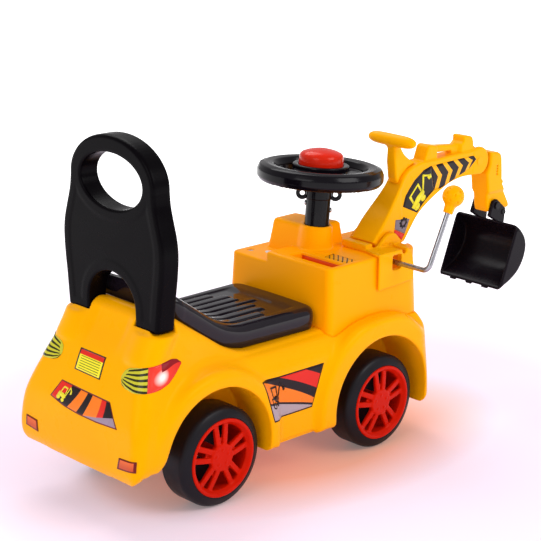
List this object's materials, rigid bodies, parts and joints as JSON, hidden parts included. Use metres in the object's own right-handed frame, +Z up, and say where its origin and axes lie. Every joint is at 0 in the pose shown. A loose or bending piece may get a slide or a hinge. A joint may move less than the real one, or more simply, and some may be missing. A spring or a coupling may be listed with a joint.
{
  "type": "ride-on digger toy",
  "caption": "Foot-to-floor ride-on toy digger: moulded car body on road wheels with seat, hand-hold backrest, steering wheel with horn button, and a jointed digger arm worked by a crank lever.",
  "frame": {"origin": "on the floor under the middle of the whole object's bounding box", "axes": "+X forward, +Y to the driver's left, +Z up"},
  "size_m": [0.813, 0.312, 0.5],
  "materials": {
    "shell_yellow": "glossy moulded plastic, golden orange-yellow",
    "knob_amber": "glossy moulded plastic, amber",
    "gloss_black": "glossy black moulded plastic",
    "pan_black": "satin black moulded plastic",
    "rim_red": "glossy red moulded plastic",
    "button_red": "glossy red moulded plastic",
    "tyre_black": "smooth satin black plastic tyre",
    "bright_steel": "bright zinc-plated steel"
  },
  "bodies": {
    "body": {"body_shell": "shell_yellow", "floor_pan": "shell_yellow", "pan_screws": "bright_steel", "seat": "gloss_black", "backrest": "gloss_black", "console": "shell_yellow", "deck_screw": "bright_steel", "rear_axle": "bright_steel", "kingpin_left": "bright_steel", "kingpin_right": "bright_steel", "arm_bracket": "shell_yellow", "boom_pin": "shell_yellow"},
    "wheel_rear_left": {"rim_rear_left": "rim_red", "tyre_rear_left": "tyre_black"},
    "wheel_rear_right": {"rim_rear_right": "rim_red", "tyre_rear_right": "tyre_black"},
    "knuckle_left": {"knuckle_left": "pan_black", "stub_left": "bright_steel"},
    "knuckle_right": {"knuckle_right": "pan_black", "stub_right": "bright_steel"},
    "wheel_front_left": {"rim_front_left": "rim_red", "tyre_front_left": "tyre_black"},
    "wheel_front_right": {"rim_front_right": "rim_red", "tyre_front_right": "tyre_black"},
    "tie_rod": {"tie_rod": "bright_steel"},
    "steering": {"steering_shaft": "bright_steel", "steering_column": "gloss_black", "column_screws": "bright_steel", "steering_wheel": "gloss_black"},
    "horn": {"horn_button": "button_red"},
    "boom": {"boom": "shell_yellow", "arm_handle": "shell_yellow", "elbow_pin": "shell_yellow", "crank_rod": "bright_steel", "crank_knob": "knob_amber"},
    "stick": {"stick": "shell_yellow"},
    "bucket": {"bucket": "gloss_black", "bucket_pin": "bright_steel"}
  },
  "joints": [
    {"name": "wheel_rear_left_spin", "type": "hinge", "parent": "body", "child": "wheel_rear_left", "pos_m": [-0.2505, 0.122, 0.07], "axis": [0, 1, 0], "continuous": true},
    {"name": "knuckle_left_turn", "type": "hinge", "parent": "body", "child": "knuckle_left", "pos_m": [0.0605, 0.086, 0.07], "axis": [0, 0, 1], "range_deg": [-12.1, 12.1]},
    {"name": "wheel_front_left_spin", "type": "hinge", "parent": "knuckle_left", "child": "wheel_front_left", "pos_m": [0.0605, 0.122, 0.07], "axis": [0, 1, 0], "continuous": true},
    {"name": "wheel_rear_right_spin", "type": "hinge", "parent": "body", "child": "wheel_rear_right", "pos_m": [-0.2505, -0.07, 0.07], "axis": [0, 1, 0], "continuous": true},
    {"name": "knuckle_right_turn", "type": "hinge", "parent": "body", "child": "knuckle_right", "pos_m": [0.0605, -0.034, 0.07], "axis": [0, 0, 1], "range_deg": [-12.1, 12.1]},
    {"name": "wheel_front_right_spin", "type": "hinge", "parent": "knuckle_right", "child": "wheel_front_right", "pos_m": [0.0605, -0.07, 0.07], "axis": [0, 1, 0], "continuous": true},
    {"name": "steering_turn", "type": "hinge", "parent": "body", "child": "steering", "pos_m": [0.0355, 0.026, 0.27], "axis": [0.0698, 0, 0.9976], "range_deg": [-24, 24]},
    {"name": "tie_rod_slide", "type": "slide", "parent": "body", "child": "tie_rod", "axis": [0, 1, 0], "range_m": [-0.0068, 0.0068]},
    {"name": "horn_press", "type": "slide", "parent": "steering", "child": "horn", "axis": [0.0698, 0, 0.9976], "range_m": [-0.003, 0], "stiffness_N_per_m": 800, "springref_m": 0.002},
    {"name": "boom_lift", "type": "hinge", "parent": "body", "child": "boom", "pos_m": [0.1115, -0.024, 0.288], "axis": [0, -1, 0], "range_deg": [-24, 6]},
    {"name": "stick_swing", "type": "hinge", "parent": "boom", "child": "stick", "pos_m": [0.3265, -0.024, 0.381], "axis": [0, -1, 0], "range_deg": [-30, 30]},
    {"name": "bucket_tilt", "type": "hinge", "parent": "stick", "child": "bucket", "pos_m": [0.3675, -0.024, 0.305], "axis": [0, -1, 0], "range_deg": [-45, 40]}
  ],
  "couplings": [
    {"joint": "knuckle_left_turn", "follows": "steering_turn", "ratio": 0.5},
    {"joint": "knuckle_right_turn", "follows": "steering_turn", "ratio": 0.5},
    {"joint": "tie_rod_slide", "follows": "steering_turn", "m_per_rad": -0.0159}
  ]
}
